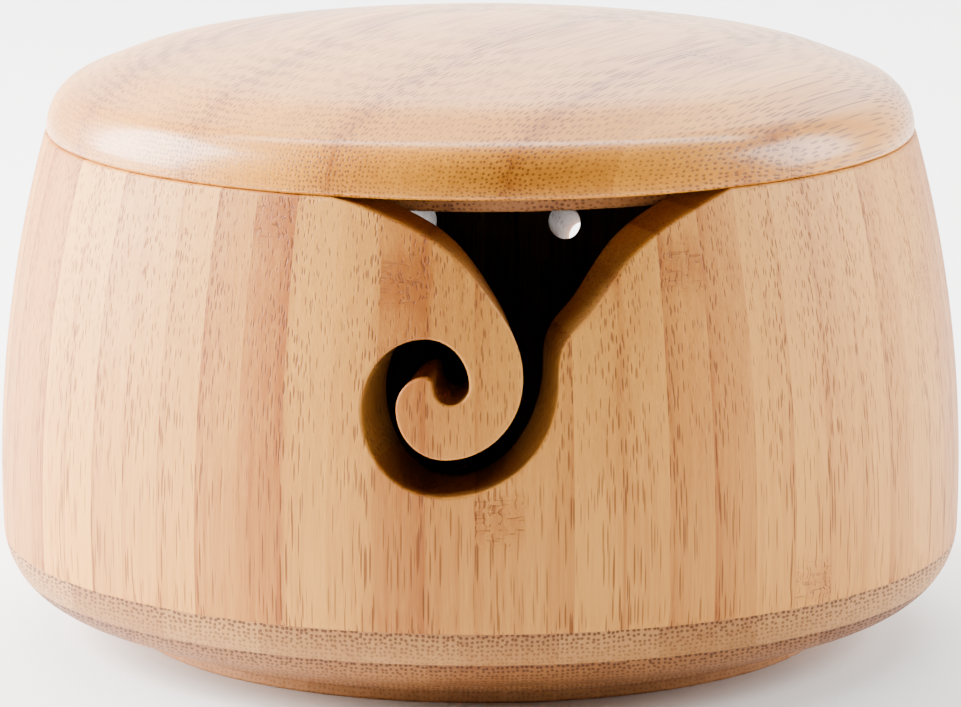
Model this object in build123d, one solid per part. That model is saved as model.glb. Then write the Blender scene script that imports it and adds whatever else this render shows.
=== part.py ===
"""Yarn bowl of turned bamboo with a lift-off lid, in millimetres.

The bowl stands on Z = 0 with its axis on Z. The scroll slot, which the yarn runs through, faces -Y.
The wall is a ring of upright strips with radial glue faces, on a base of three plies.
"""
import os
from math import ceil, cos, floor, hypot, radians, sin, sqrt

from build123d import *

# ---- Bowl, outside -------------------------------------------------------------------------------
bowl_radius = 89.8          # at the belly, the widest place
belly_height = 30.0         # height of the belly above the table
rim_height = 94.1
wall_arc_radius = 238.0     # the wall's long upright curve
knee_height = 10.8          # where wall and flank would meet without the rounding
knee_radius = 14.0
rim_rounding = 0.9

# ---- Foot ----------------------------------------------------------------------------------------
foot_radius = 65.5
foot_height = 3.3           # the step between the table and the flank
ledge_width = 4.0           # how far the flank's lower edge stands out over the foot
foot_land = 9.0             # width of the ring that touches the table
foot_recess = 1.2           # how far the underside is hollowed inside that ring
foot_rounding = 0.8

# ---- Bowl, inside --------------------------------------------------------------------------------
bore_radius = 70.0
floor_height = 16.0
floor_rounding = 14.0

# ---- Lamination ----------------------------------------------------------------------------------
base_ply = 6.2              # thickness of each of the three base plies
wall_strips = 64            # upright strips round the wall
strips_per_stave = 2        # strips glued in pairs before the ring is closed
wall_phase = -0.65         # angle of one glue face from -Y
ply_strip_width = 17.6      # flat strips in a base ply, running along Y
upper_ply_shift = -3.8      # X of one glue face in each ply
middle_ply_shift = -9.4
foot_ply_shift = 4.0

# ---- Yarn slot, drawn on a flat plane in front of the axis and cut towards the axis -----------------
drawing_distance = 90.0     # the drawing plane's distance from the axis
slot_width = 6.6
scroll_x = -6.5             # X of the scroll's lowest point
scroll_bottom = 46.3        # height of the slot's middle line at that point
scroll_radii = (17.5, 12.2, 8.7, 4.7)   # middle line, one quarter turn each, from the neck inwards
slot_edge_easing = 0.45     # the sanded edge of the slot on the outside
mouth_right = 64.0          # where the funnel's lips leave the rim
mouth_left = -34.0

# ---- Needle holes in the back ---------------------------------------------------------------------
hole_radius = 3.2
hole_height = 64.0          # of the axis, where it leaves the bore
hole_fall = 20.0            # the holes run down towards the outside
hole_middle = 2.0           # angle of the pair's middle from +Y
hole_spread = 11.7          # from there to each hole

# ---- Lid -------------------------------------------------------------------------------------------
lid_radius = 80.7
lid_rise = 19.6             # from the rim to the top of the dome
dome_radius = 361.0
shoulder_height = 7.4       # above the rim, where side and shoulder would meet without the rounding
shoulder_reach = 16.0       # how far in from the side the shoulder meets the dome
side_rounding = 9.5
shoulder_rounding = 36.0
lid_edge_rounding = 0.8
lid_strips = 11
lid_grain_angle = 61.0      # the lid's strips, from +X
spigot_clearance = 0.7      # to the bore, all round
spigot_depth = 4.0
spigot_rounding = 0.8
spigot_strips = 17

# ---- Worked out --------------------------------------------------------------------------------------
wall_foot = 3 * base_ply
overall_height = rim_height + lid_rise
outside = 2 * bowl_radius   # anything this far from the axis is clear of the bowl
glue_tolerance = 0.01       # a strip narrower than this share of the width isn't laid


def wall_radius(height):
    """Radius of the wall's outer face at a height, before the knee is rounded."""
    return bowl_radius - wall_arc_radius + sqrt(wall_arc_radius**2 - (height - belly_height) ** 2)


def point(radius, height):
    """A point of a turned section, in the XZ plane."""
    return Vector(radius, 0, height)


def turned(edges, roundings):
    """Revolve a closed section about Z, after rounding the corners given with their radii."""
    section = Face(Wire(edges))
    for corner, radius in roundings:
        nearest = section.vertices().sort_by_distance(corner)[0]
        section = section.fillet_2d(radius, [nearest])
    return revolve(section, Axis.Z)


def bowl_blank():
    """The whole bowl in one piece, turned inside and out, before it is cut."""
    land = foot_radius - foot_land
    ledge = point(foot_radius + ledge_width, foot_height)
    knee = point(wall_radius(knee_height), knee_height)
    rim_outer = point(wall_radius(rim_height), rim_height)
    rim_inner = point(bore_radius, rim_height)
    floor_corner = point(bore_radius, floor_height)
    foot_outer = point(foot_radius, 0)
    foot_inner = point(land, 0)
    under_edge = Polyline(
        point(0, floor_height), point(0, foot_recess), point(land, foot_recess),
        foot_inner, foot_outer, point(foot_radius, foot_height), ledge, knee,
    )
    middle = (knee_height + rim_height) / 2
    wall = ThreePointArc(knee, point(wall_radius(middle), middle), rim_outer)
    inside = Polyline(rim_outer, rim_inner, floor_corner, point(0, floor_height))
    roundings = [
        (knee, knee_radius),
        (rim_outer, rim_rounding),
        (rim_inner, rim_rounding),
        (floor_corner, floor_rounding),
        (foot_outer, foot_rounding),
        (foot_inner, foot_rounding),
    ]
    return turned([*under_edge.edges(), wall, *inside.edges()], roundings)


def quarter(centre, radius, start):
    """A quarter turn, clockwise as seen from the front."""
    ends = [centre + Vector(cos(radians(a)), 0, sin(radians(a))) * radius for a in (start, start - 45, start - 90)]
    return ThreePointArc(*ends)


def slot_outline():
    """Outline of the mouth and the scroll on the drawing plane: X across, Z up, Y = 0."""
    half = slot_width / 2
    outer = []
    inner = []
    centre = Vector(scroll_x, 0, scroll_bottom + scroll_radii[0])
    for turn, radius in enumerate(scroll_radii):
        outer.append(quarter(centre, radius + half, -90 * turn))
        inner.append(quarter(centre, radius - half, -90 * turn))
        if turn + 1 < len(scroll_radii):
            heading = radians(-90 * (turn + 1))
            step = radius - scroll_radii[turn + 1]
            centre = centre + Vector(cos(heading), 0, sin(heading)) * step
    end_centre = (outer[-1] @ 1 + inner[-1] @ 1) / 2
    round_end = ThreePointArc(outer[-1] @ 1, end_centre - Vector(0, 0, half), inner[-1] @ 1)
    neck_right = outer[0] @ 0
    neck_left = inner[0] @ 0
    rise = rim_height - neck_right.Z
    right_lip = Spline(
        Vector(mouth_right, 0, rim_height + 0.7),
        Vector(45.0, 0, neck_right.Z + 0.89 * rise),
        Vector(29.6, 0, neck_right.Z + 0.65 * rise),
        Vector(20.2, 0, neck_right.Z + 0.33 * rise),
        neck_right,
        tangents=[Vector(-1, 0, -0.1), Vector(0, 0, -1)],
    )
    left_lip = Spline(
        neck_left,
        Vector(2.9, 0, neck_left.Z + 0.40 * rise),
        Vector(-7.7, 0, neck_left.Z + 0.75 * rise),
        Vector(-20.0, 0, neck_left.Z + 0.92 * rise),
        Vector(mouth_left, 0, rim_height + 0.4),
        tangents=[Vector(0, 0, 1), Vector(-1, 0, 0.12)],
    )
    above = rim_height + rim_rounding + 5
    over = Polyline(
        left_lip @ 1, Vector(mouth_left, 0, above), Vector(mouth_right, 0, above), right_lip @ 0
    )
    return [right_lip, *outer, round_end, *reversed(inner), left_lip, *over.edges()]


def slot_cutter():
    """The slot as a solid whose walls all run towards the bowl's axis."""
    outline = Wire(slot_outline())
    rings = []
    for distance in (bore_radius / 4, 1.15 * bowl_radius):
        flat = outline.transform_geometry(Matrix([
            [distance / drawing_distance, 0, 0, 0],
            [0, 1, 0, -distance],
            [0, 0, 1, 0],
        ]))
        rings.append(flat)
    return Solid.make_loft(rings, ruled=True)


def needle_holes():
    """The two cylinders that the holes in the back wall are drilled with."""
    drills = []
    for side in (-1, 1):
        across = radians(hole_middle + side * hole_spread)
        fall = radians(hole_fall)
        start = Vector(bore_radius * sin(across), bore_radius * cos(across), hole_height)
        along = Vector(sin(across) * cos(fall), cos(across) * cos(fall), -sin(fall))
        wall_depth = 2 * (bowl_radius - bore_radius)
        drill = Plane(start - along * wall_depth, z_dir=along) * Cylinder(
            hole_radius, 3 * wall_depth, align=(Align.CENTER, Align.CENTER, Align.MIN)
        )
        drills.append(drill)
    return drills


def on_outside(edge):
    """Whether an edge of the slot lies on the wall's outer face, below the rim's rounding."""
    middle = edge @ 0.5
    on_wall = abs(hypot(middle.X, middle.Y) - wall_radius(middle.Z)) < slot_edge_easing / 10
    return on_wall and middle.Z < rim_height - rim_rounding


def finished_bowl():
    """The bowl turned, slotted, eased along the slot and drilled, before it is parted into strips."""
    blank = bowl_blank()
    cutter = slot_cutter()
    slotted = blank - cutter
    edges = [edge for edge in new_edges(blank, cutter, combined=slotted) if on_outside(edge)]
    eased = slotted.fillet(slot_edge_easing, edges)
    for drill in needle_holes():
        eased = eased - drill
    return eased


def block(x_range, z_range, depth):
    """A box over a range of X and of Z, centred on Y."""
    width = x_range[1] - x_range[0]
    height = z_range[1] - z_range[0]
    centre = Location((sum(x_range) / 2, 0, sum(z_range) / 2))
    return centre * Box(width, depth, height)


def pieces(shape):
    """The separate solids of a cut shape."""
    return list(shape.solids())


def wall_staves(bowl):
    """The wall's strips, parted on radial planes and paired into staves, from -Y towards +X."""
    pitch = 360 / wall_strips
    height = rim_height - wall_foot + rim_rounding
    wall = bowl & block((-outside, outside), (wall_foot, rim_height + rim_rounding), 2 * outside)
    staves = {}
    for number in range(wall_strips // strips_per_stave):
        strips = []
        for place in range(strips_per_stave):
            start = -90 + wall_phase + (number * strips_per_stave + place) * pitch
            corners = [
                Vector(outside * cos(radians(a)), outside * sin(radians(a)), wall_foot)
                for a in (start, start + pitch)
            ]
            wedge = extrude(Face(Wire.make_polygon([Vector(0, 0, wall_foot), *corners])), height, dir=(0, 0, 1))
            strips += pieces(wall & wedge)
        staves[f"wall_stave_{number + 1:02d}"] = strips
    return staves


def laid_strips(shape, width, shift, angle, reach):
    """Part a shape into strips of one width, running at an angle from +X, with a glue face at the shift."""
    strips = []
    first = floor((-reach - shift) / width + glue_tolerance)
    last = ceil((reach - shift) / width - glue_tolerance)
    for number in range(first, last):
        across = (shift + number * width, shift + (number + 1) * width)
        slab = Rotation(0, 0, angle - 90) * block(across, (-outside, 2 * outside), 2 * outside)
        strips.append(pieces(shape & slab))
    return strips


def base_plies(bowl):
    """The three plies under the wall, each parted into strips that run along Y."""
    plies = {}
    levels = (
        ("foot_ply", 0, foot_ply_shift),
        ("base_ply_middle", base_ply, middle_ply_shift),
        ("base_ply_upper", 2 * base_ply, upper_ply_shift),
    )
    for name, bottom, shift in levels:
        ply = bowl & block((-outside, outside), (bottom, bottom + base_ply), 2 * outside)
        reach = ply.bounding_box().max.X
        rows = laid_strips(ply, ply_strip_width, shift, 90, reach)
        plies[name] = [strip for row in rows for strip in row]
    return plies


def lid_blank():
    """The lid above the rim, turned in one piece."""
    top = rim_height + lid_rise
    meeting = lid_radius - shoulder_reach

    def dome(radius):
        return top - dome_radius + sqrt(dome_radius**2 - radius**2)

    edge = point(lid_radius, rim_height)
    side_top = point(lid_radius, rim_height + shoulder_height)
    shoulder = point(meeting, dome(meeting))
    crown = ThreePointArc(shoulder, point(meeting / 2, dome(meeting / 2)), point(0, top))
    around = Polyline(point(0, top), point(0, rim_height), edge, side_top, shoulder)
    roundings = [
        (edge, lid_edge_rounding),
        (side_top, side_rounding),
        (shoulder, shoulder_rounding),
    ]
    return turned([crown, *around.edges()], roundings)


def spigot_blank():
    """The turned disc under the lid that drops inside the bore."""
    radius = bore_radius - spigot_clearance
    bottom = rim_height - spigot_depth
    low_edge = point(radius, bottom)
    around = Polyline(
        point(0, rim_height), point(0, bottom), low_edge, point(radius, rim_height), close=True
    )
    return turned(around.edges(), [(low_edge, spigot_rounding)])


def lid():
    """The lid's strips, each a node, and the spigot's strips in one node."""
    board_width = 2 * lid_radius / lid_strips
    board_shift = -lid_radius
    strips = laid_strips(lid_blank(), board_width, board_shift, lid_grain_angle, lid_radius)
    nodes = {f"lid_strip_{n + 1:02d}": strip for n, strip in enumerate(strips)}
    spigot_width = 2 * (bore_radius - spigot_clearance) / spigot_strips
    reach = bore_radius - spigot_clearance
    rows = laid_strips(spigot_blank(), spigot_width, spigot_width / 2, lid_grain_angle, reach)
    nodes["lid_spigot"] = [strip for row in rows for strip in row]
    return nodes


bowl = finished_bowl()
nodes = {**wall_staves(bowl), **base_plies(bowl), **lid()}
os.makedirs("parts", exist_ok=True)
for name, solids in nodes.items():
    export_step(Compound(solids) if len(solids) > 1 else solids[0], f"parts/{name}.step")
print(len(nodes), "nodes,", sum(len(solids) for solids in nodes.values()), "solids")
print("bowl", 2 * bowl_radius, "across,", overall_height, "high")
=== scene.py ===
"""Turned bamboo yarn bowl: finishes, table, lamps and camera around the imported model. Metres throughout."""
import math

import bpy
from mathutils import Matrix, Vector


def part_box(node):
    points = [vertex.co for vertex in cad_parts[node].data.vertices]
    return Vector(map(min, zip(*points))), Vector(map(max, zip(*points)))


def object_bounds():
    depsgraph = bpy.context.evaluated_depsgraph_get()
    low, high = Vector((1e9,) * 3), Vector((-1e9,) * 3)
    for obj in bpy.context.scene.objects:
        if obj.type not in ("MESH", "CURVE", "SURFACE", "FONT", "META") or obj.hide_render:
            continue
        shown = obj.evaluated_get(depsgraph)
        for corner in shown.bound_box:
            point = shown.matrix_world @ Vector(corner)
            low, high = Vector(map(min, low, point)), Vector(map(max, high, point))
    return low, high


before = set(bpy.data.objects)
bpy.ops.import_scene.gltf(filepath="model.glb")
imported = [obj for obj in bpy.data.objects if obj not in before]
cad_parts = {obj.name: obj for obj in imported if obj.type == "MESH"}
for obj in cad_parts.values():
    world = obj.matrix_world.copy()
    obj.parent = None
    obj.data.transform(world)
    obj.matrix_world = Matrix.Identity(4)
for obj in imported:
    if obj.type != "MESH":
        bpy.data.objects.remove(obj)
cad_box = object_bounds()

MM = 0.001

# ---- Sizes taken from the frame ------------------------------------------------------------------
foot_low, foot_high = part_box("foot_ply")
middle_low, middle_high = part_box("base_ply_middle")
upper_low, upper_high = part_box("base_ply_upper")
rim_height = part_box("wall_stave_16")[1].z
overall_height = cad_box[1].z

# ---- The glue lines, as the bowl is built -----------------------------------------------------------
WALL_STRIPS = 64
WALL_PHASE = -0.65          # degrees from the front to the first glue line
PLY_STRIP = 17.6            # millimetres, width of a base strip
FOOT_SHIFT = 4.0            # X of one glue line in each base ply, in millimetres
MIDDLE_SHIFT = -9.4
UPPER_SHIFT = -3.8
LID_STRIP = 14.9            # millimetres; the CAD strips of the lid are narrower and lie elsewhere
LID_SHIFT = 27.9            # from the axis to one glue line
LID_GRAIN = 61.0            # degrees from +X
SPIGOT_RADIUS = 69.3
SPIGOT_STRIP = 2 * SPIGOT_RADIUS / 17

# ---- The wall's curve, in millimetres ------------------------------------------------------------------
BELLY_RADIUS = cad_box[1].x / MM
BELLY_HEIGHT = 30.0
WALL_ARC = 238.0

# ---- Wall strips that stand out, counted from the front, positive to the right -----------------------------
KNUCKLE_HEIGHTS = ((4, 82.0), (0, 39.0), (-2, 80.0))                # millimetres above the table
STRIP_TONES = ((-2, 0.60), (-5, 0.42), (-3, -0.25), (4, 0.20))      # darker above 0, paler below


# ---- Shader arithmetic -------------------------------------------------------------------------------
class Value:
    """A socket of a finish; arithmetic on it adds Math nodes."""

    def __init__(self, finish, socket):
        self.finish = finish
        self.socket = socket

    def math(self, operation, *others):
        inputs = dict(enumerate([self, *others]))
        return self.finish.add("ShaderNodeMath", {"operation": operation}, inputs).out()

    def __add__(self, other):
        return self.math("ADD", other)

    def __sub__(self, other):
        return self.math("SUBTRACT", other)

    def __mul__(self, other):
        return self.math("MULTIPLY", other)

    def __truediv__(self, other):
        return self.math("DIVIDE", other)

    def __rsub__(self, other):
        return self.finish.number(other).math("SUBTRACT", self)

    def __gt__(self, other):
        return self.math("GREATER_THAN", other)

    __radd__ = __add__
    __rmul__ = __mul__

    def near(self, other, within=0.5):
        """1 where this is within a distance of another value, else 0."""
        return self.math("COMPARE", other, within)

    def floor(self):
        return self.math("FLOOR")

    def fract(self):
        return self.math("FRACT")

    def to(self, low, high, start=0.0, end=1.0, kind="SMOOTHSTEP"):
        """Map the stretch from low to high onto start to end, held at both ends."""
        settings = {"interpolation_type": kind, "clamp": True}
        inputs = {"Value": self, "From Min": low, "From Max": high, "To Min": start, "To Max": end}
        return self.finish.add("ShaderNodeMapRange", settings, inputs).out("Result")


class Added:
    """A node that was added to a finish."""

    def __init__(self, finish, node):
        self.finish = finish
        self.node = node

    def out(self, name=0):
        return Value(self.finish, self.node.outputs[name])


class Finish:
    """A material and the means of adding nodes to it."""

    def __init__(self, name):
        self.material = bpy.data.materials.new(name)
        self.material.use_nodes = True
        self.tree = self.material.node_tree
        self.tree.nodes.clear()
        self.numbers = {}

    def add(self, kind, settings=None, inputs=None):
        """Add a node: settings first, then the values or links of its sockets."""
        node = self.tree.nodes.new(kind)
        for name, value in (settings or {}).items():
            setattr(node, name, value)
        for name, value in (inputs or {}).items():
            if isinstance(value, Value):
                self.tree.links.new(value.socket, node.inputs[name])
            else:
                node.inputs[name].default_value = value
        return Added(self, node)

    def number(self, value):
        """A socket that holds a plain number."""
        if value not in self.numbers:
            added = self.add("ShaderNodeMath", {"operation": "ADD"}, {0: value, 1: 0.0})
            self.numbers[value] = added.out()
        return self.numbers[value]

    def place(self):
        """X, Y and Z of the piece's own space, in millimetres."""
        coordinate = self.add("ShaderNodeTexCoord").out("Object")
        split = self.add("ShaderNodeSeparateXYZ", None, {"Vector": coordinate})
        return [split.out(axis) * (1 / MM) for axis in "XYZ"]

    def vector(self, x, y, z):
        return self.add("ShaderNodeCombineXYZ", None, {"X": x, "Y": y, "Z": z}).out()

    def noise(self, x, y, z, detail=2.0, rough=0.5):
        inputs = {"Vector": self.vector(x, y, z), "Scale": 1.0, "Detail": detail, "Roughness": rough}
        return self.add("ShaderNodeTexNoise", {"noise_dimensions": "3D"}, inputs).out("Fac")

    def chance(self, *numbers):
        """A fixed number from 0 to 1 for each set of whole numbers."""
        seeds = [*numbers, 0.0, 0.0][:3]
        inputs = {"Vector": self.vector(*seeds)}
        return self.add("ShaderNodeTexWhiteNoise", {"noise_dimensions": "3D"}, inputs).out("Value")

    def blend(self, share, one, other, kind="MIX"):
        """Mix two colours; a share of 0 gives the first."""
        settings = {"data_type": "RGBA", "blend_type": kind}
        ready = [(*c, 1.0) if isinstance(c, tuple) else c for c in (one, other)]
        inputs = {0: share, 6: ready[0], 7: ready[1]}
        return self.add("ShaderNodeMix", settings, inputs).out(2)

    def finish(self, colour, roughness, height, relief, coat, coat_roughness, sheen=0.5):
        """Join everything up to the surface."""
        inputs = {"Height": height, "Strength": 1.0, "Distance": relief}
        bump = self.add("ShaderNodeBump", None, inputs).out("Normal")
        surface = self.add("ShaderNodeBsdfPrincipled", None, {
            "Base Color": colour,
            "Roughness": roughness,
            "Normal": bump,
            "IOR": 1.5,
            "Specular IOR Level": sheen,
            "Coat Weight": coat,
            "Coat Roughness": coat_roughness,
        })
        self.add("ShaderNodeOutputMaterial", None, {"Surface": surface.out("BSDF")})
        return self.material


def srgb(red, green, blue):
    """A colour given as 0 to 255 on a screen, in linear light."""
    return tuple(((c / 255 + 0.055) / 1.055) ** 2.4 for c in (red, green, blue))


# ---- Bamboo --------------------------------------------------------------------------------------------
# Painted shade: multiplies the colour darker and greyer on the faces inside the bowl and in the slot
CUT_FACE_SHADE_TINT = (0.62, 0.60, 0.72)
STRIP_OFFSET = 97.0         # the most that one strip's grain is moved from another's


class Shade:
    """The colours and the gloss of one part of the bowl."""

    def __init__(self, pale, deep, fibre, contrast, rough, coat, coat_rough, spacing, relief,
                 thin, thick, strays, scatter, fade, dash, sheen):
        self.pale = pale
        self.deep = deep
        self.fibre = fibre
        self.contrast = contrast
        self.rough = rough
        self.coat = coat
        self.coat_rough = coat_rough
        self.spacing = spacing
        self.relief = relief
        self.thin = thin            # fibre bundle's radius at the soft face, as a share of the spacing
        self.thick = thick          # the same at the hard face
        self.strays = strays        # share of the bundles that show at the soft face
        self.scatter = scatter      # how irregular their lattice is
        self.fade = fade            # how much of their darkness is left at the soft face
        self.dash = dash            # length of a bundle in spacings, or 0 where it runs right through
        self.sheen = sheen          # strength of the bare wood's own reflection


def bamboo(finish, strip, depth, side, along, hardness, knuckle, tone, shade, cut_face_shade=0.0):
    """Bamboo from a place inside one strip.

    depth, side and along are millimetres through the culm's wall, round it and up it; hardness runs from
    0 at the soft inner face to 1 at the hard outer one; knuckle is 1 in the middle of a node; tone moves
    the strip's colour from pale to deep; strip is a whole number that tells the strips apart; the last
    argument is 1 on faces that the saw or the boring tool left, inside the bowl and in the slot, where the
    colour is made darker and greyer as painted shade.
    """
    shift = finish.chance(strip, 3.0) * STRIP_OFFSET
    stir = finish.noise(depth * 0.35, side * 0.35 + shift, along * 0.5, 1.0) - 0.5
    depth = depth + stir * knuckle * 2.6
    side = side + shift + stir * knuckle * 1.8
    pitch = shade.spacing
    wander = finish.noise(depth * 0.12, side * 0.12, along * 0.012, 1.0) - 0.5
    run = along / (pitch * shade.dash) if shade.dash else 0.0
    space = "3D" if shade.dash else "2D"
    cells = finish.add("ShaderNodeTexVoronoi", {"feature": "F1", "voronoi_dimensions": space}, {
        "Vector": finish.vector((depth + wander) / pitch, (side - wander) / pitch, run),
        "Scale": 1.0,
        "Randomness": shade.scatter,
    })
    split = finish.add("ShaderNodeSeparateColor", None, {"Color": cells.out("Color")})
    share = hardness * (1.1 - shade.strays) + shade.strays
    kept = (split.out(0) - share).to(-0.06, 0.06, 1.0, 0.0)
    reach = hardness * (shade.thick - shade.thin) + shade.thin
    soft = (cells.out("Distance") - reach).to(-0.07, 0.07, 1.0, 0.0) * kept
    bundle = soft * (hardness * (1.0 - shade.fade) + shade.fade)
    streak = finish.noise(depth * 0.9, side * 0.9, along * 0.018, 3.0, 0.6)
    hair = finish.noise(depth * 6.0, side * 6.0, along * 0.12, 2.0, 0.6)
    cloud = finish.noise(depth * 0.05, side * 0.05 + shift, along * 0.02, 2.0)
    rings = finish.noise(depth * 0.3, side * 0.3, along * 1.7, 2.0, 0.6)
    depthness = (tone + (streak - 0.5) + (hair - 0.5) * 0.75 + (cloud - 0.5) * 0.5
                 + hardness * 0.22 + hardness.to(0.8, 1.0) * streak * 0.5 + knuckle * 0.3)
    ground = finish.blend(depthness.to(0.0, 1.1, kind="LINEAR"), shade.pale, shade.deep)
    marked = finish.blend(bundle * shade.contrast, ground, shade.fibre)
    lines = (rings - 0.57).to(0.0, 0.08) * knuckle
    figured = finish.blend(lines * 0.4, marked, shade.fibre)
    # Painted shade: darker, greyer colour on the cut faces inside the bowl and in the slot
    colour = finish.blend(cut_face_shade, figured, CUT_FACE_SHADE_TINT, "MULTIPLY")
    height = (hair - 0.5) * 0.5 - bundle * 0.9 - lines * 1.2 + (streak - 0.5) * 0.6
    roughness = bundle * 0.14 + (hair - 0.5) * 0.10 + (streak - 0.5) * 0.08 + shade.rough
    return finish.finish(
        colour, roughness, height, shade.relief, shade.coat, shade.coat_rough, shade.sheen
    )


def lay(across, width, shift):
    """Number of the flat strip at a place, and how far through its width the place is."""
    count = (across - shift) / width
    return count.floor(), count.fract()


def wall_bamboo():
    """Upright strips: each one's hard side faces along the wall, to the left or to the right."""
    finish = Finish("wall_bamboo")
    x, y, z = finish.place()
    turn = x.math("ARCTAN2", y * -1.0) * (180 / math.pi)
    radius = (x * x + y * y).math("SQRT")
    pitch = 360 / WALL_STRIPS
    count = (turn - WALL_PHASE) / pitch + WALL_STRIPS
    strip = count.floor()
    share = count.fract()
    flip = finish.chance(strip, 11.0) > 0.5
    hardness = share + flip - share * flip * 2.0
    breadth = radius * math.radians(pitch)
    depth = hardness * breadth
    level = finish.chance(strip, 5.0) * 300.0 - 120.0
    for number, height in KNUCKLE_HEIGHTS:
        chosen = strip.near(float(WALL_STRIPS + number))
        level = level + (height - level) * chosen
    knuckle = (z - level).math("ABSOLUTE").to(1.0, 6.5, 1.0, 0.0)
    bulge = (z - BELLY_HEIGHT) * (z - BELLY_HEIGHT)
    outer = (finish.number(WALL_ARC**2) - bulge).math("SQRT") + (BELLY_RADIUS - WALL_ARC)
    below_rim = z.to(rim_height / MM - 1.0, rim_height / MM - 0.1, 1.0, 0.0)
    # Mask for painted shade: the bored inside and the slot's cut faces, below the rim's top
    cut_face_shade = (outer - radius).to(0.6, 2.0) * below_rim
    tone = finish.chance(strip, 7.0).math("POWER", 1.6) * 0.62 + 0.02
    for number, amount in STRIP_TONES:
        tone = tone + strip.near(float(WALL_STRIPS + number)) * amount
    shade = Shade(
        pale=srgb(206, 142, 58), deep=srgb(154, 86, 26), fibre=srgb(104, 48, 12), contrast=0.78,
        rough=0.5, coat=0.04, coat_rough=0.4, spacing=0.52, relief=0.00008,
        thin=0.25, thick=0.34, strays=0.8, scatter=0.95, fade=0.55, dash=24.0, sheen=0.22,
    )
    return bamboo(finish, strip, depth, radius, z, hardness, knuckle, tone, shade, cut_face_shade)


def base_bamboo(name, low, high, shift, shade):
    """Flat strips along Y in one ply, hard side up."""
    finish = Finish(name)
    x, y, z = finish.place()
    strip, _ = lay(x, PLY_STRIP, shift)
    hardness = z.to(low / MM, high / MM, kind="LINEAR")
    tone = finish.chance(strip, low / MM + 1.0) * 0.5 + 0.1
    knuckle = finish.number(0.0)
    return bamboo(finish, strip, z, x, y, hardness, knuckle, tone, shade)


def lid_bamboo(name, width, shift, shade):
    """Strips on edge, hard sides back to back in pairs, running across the lid at an angle."""
    finish = Finish(name)
    x, y, z = finish.place()
    heading = math.radians(LID_GRAIN)
    across = x * math.sin(heading) - y * math.cos(heading)
    along = x * math.cos(heading) + y * math.sin(heading)
    strip, share = lay(across, width, shift)
    pair = (strip / 2.0).fract() > 0.25
    hardness = share * (1.0 - pair * 2.0) + pair
    depth = hardness * width
    level = finish.chance(strip, 5.0) * 260.0 - 130.0
    knuckle = (along - level).math("ABSOLUTE").to(1.0, 7.0, 0.8, 0.0)
    tone = finish.chance(strip, 9.0) * 0.42 + 0.12
    return bamboo(finish, strip, depth, z, along, hardness, knuckle, tone, shade)


upper_shade = Shade(
    pale=srgb(180, 128, 70), deep=srgb(140, 88, 40), fibre=srgb(70, 32, 13), contrast=0.85,
    rough=0.5, coat=0.04, coat_rough=0.4, spacing=0.9, relief=0.00008,
    thin=0.26, thick=0.34, strays=1.0, scatter=0.5, fade=0.3, dash=0.0, sheen=0.25,
)
middle_shade = Shade(
    pale=srgb(158, 104, 54), deep=srgb(116, 67, 31), fibre=srgb(58, 27, 11), contrast=0.85,
    rough=0.5, coat=0.04, coat_rough=0.4, spacing=0.9, relief=0.00008,
    thin=0.26, thick=0.34, strays=1.0, scatter=0.5, fade=0.3, dash=0.0, sheen=0.25,
)
foot_shade = Shade(
    pale=srgb(206, 146, 92), deep=srgb(158, 102, 58), fibre=srgb(90, 48, 24), contrast=0.7,
    rough=0.5, coat=0.04, coat_rough=0.4, spacing=0.9, relief=0.00008,
    thin=0.24, thick=0.32, strays=1.0, scatter=0.5, fade=0.3, dash=0.0, sheen=0.25,
)
lid_shade = Shade(
    pale=srgb(214, 140, 30), deep=srgb(152, 82, 10), fibre=srgb(84, 38, 8), contrast=0.78,
    rough=0.34, coat=0.24, coat_rough=0.18, spacing=0.82, relief=0.00003,
    thin=0.20, thick=0.27, strays=1.0, scatter=0.5, fade=0.6, dash=0.0, sheen=0.3,
)
spigot_shade = Shade(
    pale=srgb(168, 112, 62), deep=srgb(120, 70, 34), fibre=srgb(60, 28, 12), contrast=0.8,
    rough=0.5, coat=0.04, coat_rough=0.4, spacing=0.9, relief=0.00008,
    thin=0.22, thick=0.30, strays=0.9, scatter=0.6, fade=0.4, dash=0.0, sheen=0.25,
)

wall_finish = wall_bamboo()
lid_finish = lid_bamboo("lid_bamboo", LID_STRIP, LID_SHIFT, lid_shade)
finishes = {
    "foot_ply": base_bamboo("foot_bamboo", foot_low.z, foot_high.z, FOOT_SHIFT, foot_shade),
    "base_ply_middle": base_bamboo(
        "middle_bamboo", middle_low.z, middle_high.z, MIDDLE_SHIFT, middle_shade
    ),
    "base_ply_upper": base_bamboo(
        "upper_bamboo", upper_low.z, upper_high.z, UPPER_SHIFT, upper_shade
    ),
    "lid_spigot": lid_bamboo("spigot_bamboo", SPIGOT_STRIP, SPIGOT_STRIP / 2, spigot_shade),
}


def dress(node, material):
    """Give a CAD piece its finish."""
    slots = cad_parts[node].data.materials
    slots.clear()
    slots.append(material)


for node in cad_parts:
    if node.startswith("wall_stave"):
        dress(node, wall_finish)
    elif node.startswith("lid_strip"):
        dress(node, lid_finish)
    else:
        dress(node, finishes[node])


# ---- Table, lamps and camera -----------------------------------------------------------------------------
def paper():
    """Matt pale paper for the table and the sweep behind it."""
    finish = Finish("pale_paper")
    x, y, z = finish.place()
    tooth = finish.noise(x * 0.4, y * 0.4, z * 0.4, 3.0)
    colour = finish.blend(tooth, srgb(232, 232, 231), srgb(236, 236, 235))
    return finish.finish(colour, tooth * 0.05 + 0.75, tooth, 0.00002, 0.0, 0.5)


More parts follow.
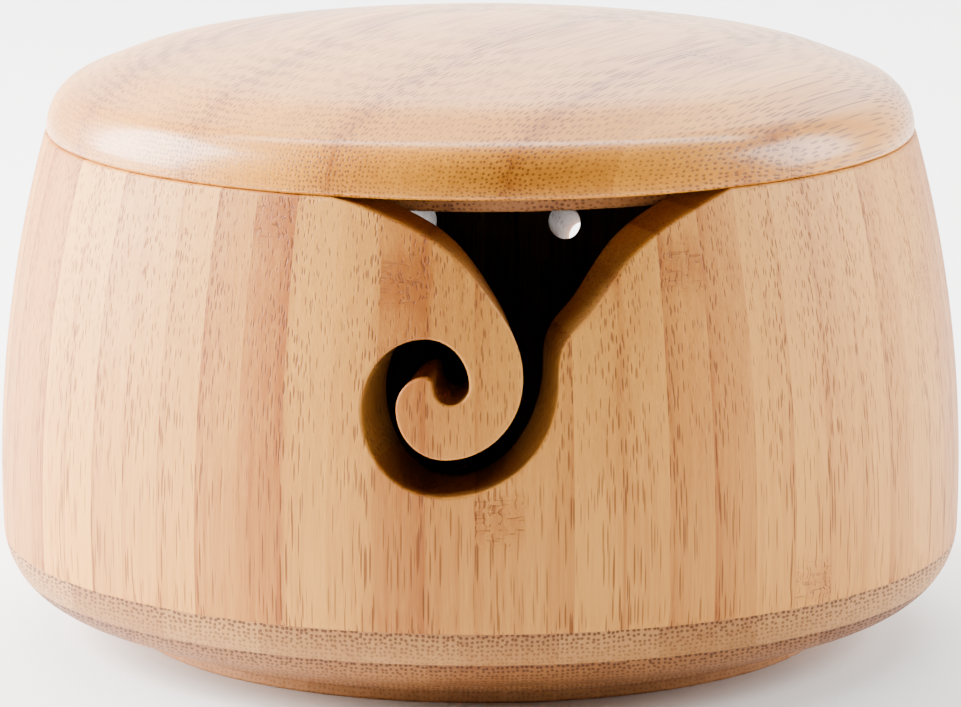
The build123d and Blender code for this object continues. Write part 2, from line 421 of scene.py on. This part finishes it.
def sweep(width, front, back, height, bend):
    """A table top that curves up into a wall behind the bowl."""
    steps = 24
    turns = [math.pi / 2 * n / steps for n in range(steps + 1)]
    section = [(front, 0.0)]
    section += [(back + bend * math.sin(a), bend * (1 - math.cos(a))) for a in turns]
    section.append((back + bend, height))
    points = [(side * width / 2, y, z) for y, z in section for side in (-1, 1)]
    faces = [(2 * n, 2 * n + 1, 2 * n + 3, 2 * n + 2) for n in range(len(section) - 1)]
    mesh = bpy.data.meshes.new("sweep")
    mesh.from_pydata(points, [], faces)
    mesh.polygons.foreach_set("use_smooth", [True] * len(mesh.polygons))
    mesh.materials.append(paper())
    piece = bpy.data.objects.new("sweep", mesh)
    bpy.context.scene.collection.objects.link(piece)


def aim(piece, place, target):
    piece.location = place
    piece.rotation_euler = (target - Vector(place)).to_track_quat("-Z", "Y").to_euler()


def softbox(name, place, target, width, height, power):
    lamp = bpy.data.lights.new(name, "AREA")
    lamp.shape = "RECTANGLE"
    lamp.size = width
    lamp.size_y = height
    lamp.energy = power
    piece = bpy.data.objects.new(name, lamp)
    bpy.context.scene.collection.objects.link(piece)
    aim(piece, place, target)


bowl_middle = Vector((0, 0, overall_height / 2))
sweep(width=6.0, front=-2.5, back=1.2, height=3.0, bend=0.8)
softbox("left_box", (-0.82, 0.14, 0.42), bowl_middle, 0.60, 0.70, 80.0)
softbox("right_box", (0.88, 0.10, 0.42), bowl_middle, 0.50, 0.60, 21.0)
softbox("back_wash", (0.0, 0.7, 1.9), Vector((0, 1.9, 0.7)), 2.6, 0.8, 200.0)

world = bpy.data.worlds.new("studio")
world.use_nodes = True
world.node_tree.nodes["Background"].inputs["Color"].default_value = (1.0, 1.0, 1.0, 1.0)
world.node_tree.nodes["Background"].inputs["Strength"].default_value = 0.12
bpy.context.scene.world = world

lens = bpy.data.cameras.new("camera")
lens.sensor_width = 36.0
lens.lens = 244.3
lens.clip_start = 0.05
camera = bpy.data.objects.new("camera", lens)
bpy.context.scene.collection.objects.link(camera)
camera.location = (0.0, -1.200, 0.2898)
camera.rotation_euler = (math.radians(90.0 - 11.253), 0.0, 0.0)
bpy.context.scene.camera = camera
